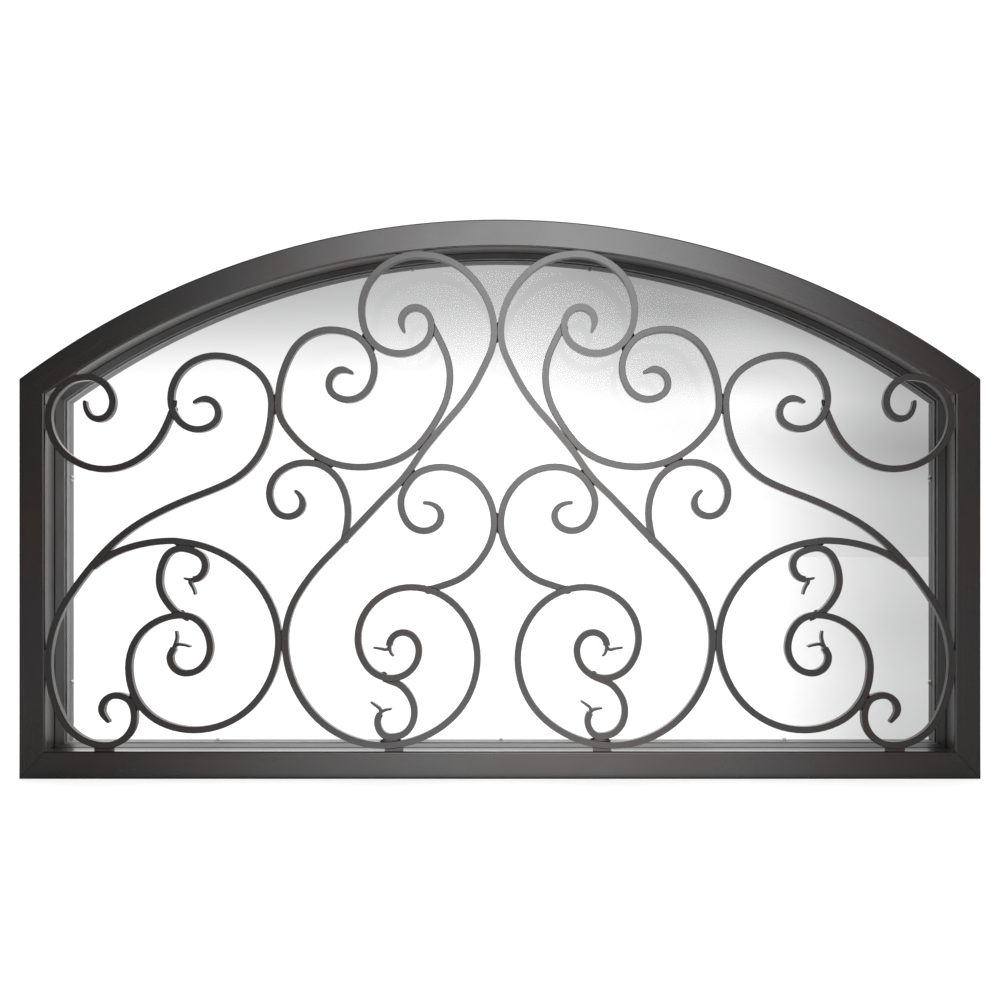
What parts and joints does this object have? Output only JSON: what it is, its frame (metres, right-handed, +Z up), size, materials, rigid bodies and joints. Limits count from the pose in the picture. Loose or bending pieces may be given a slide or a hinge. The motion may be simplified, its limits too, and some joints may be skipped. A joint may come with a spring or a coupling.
{
  "type": "fireplace screen",
  "caption": "Arched free-standing fireplace screen: a deep mitred tube frame, a glass pane held by beads, and a front grille of scrolled square bar.",
  "frame": {"origin": "on the surface it stands on, in the middle of the width and of the depth", "axes": "+X to the right seen from the front, +Y from the front with the grille to the back, +Z up"},
  "size_m": [1.168, 0.0762, 0.68],
  "materials": {
    "front_frame": "satin oil-rubbed bronze coat with faint red-brown mottling",
    "rear_frame": "satin oil-rubbed bronze coat",
    "scrollwork": "satin oil-rubbed bronze coat on hammered bar",
    "welds": "satin coat over rough weld metal",
    "glass": "clear polished float glass",
    "glazing_rubber": "matte black",
    "screws": "satin bronze coat, domed head"
  },
  "bodies": {
    "root": {"left_stile": "front_frame", "right_stile": "front_frame", "bottom_rail": "front_frame", "arched_head": "front_frame", "left_rear_stile": "rear_frame", "right_rear_stile": "rear_frame", "bottom_rear_rail": "rear_frame", "rear_head": "rear_frame", "left_glazing_ring": "rear_frame", "right_glazing_ring": "rear_frame", "bottom_glazing_ring": "rear_frame", "arched_glazing_ring": "rear_frame", "left_bead": "rear_frame", "right_bead": "rear_frame", "bottom_bead": "rear_frame", "arched_bead": "rear_frame", "glass_pane": "glass", "front_glazing_tape": "glazing_rubber", "rear_gasket": "glazing_rubber", "setting_blocks": "glazing_rubber", "bead_screws": "screws", "left_corner_scroll": "scrollwork", "left_shoulder_scroll": "scrollwork", "left_lower_spiral": "scrollwork", "left_upper_hook": "scrollwork", "left_heart_scroll": "scrollwork", "left_centre_scroll": "scrollwork", "left_cheek_scroll": "scrollwork", "left_small_scroll": "scrollwork", "left_lower_hook": "scrollwork", "right_corner_scroll": "scrollwork", "right_shoulder_scroll": "scrollwork", "right_lower_spiral": "scrollwork", "right_upper_hook": "scrollwork", "right_heart_scroll": "scrollwork", "right_centre_scroll": "scrollwork", "right_cheek_scroll": "scrollwork", "right_small_scroll": "scrollwork", "right_lower_hook": "scrollwork", "foot_blocks": "scrollwork", "joint_welds": "welds"}
  },
  "joints": []
}
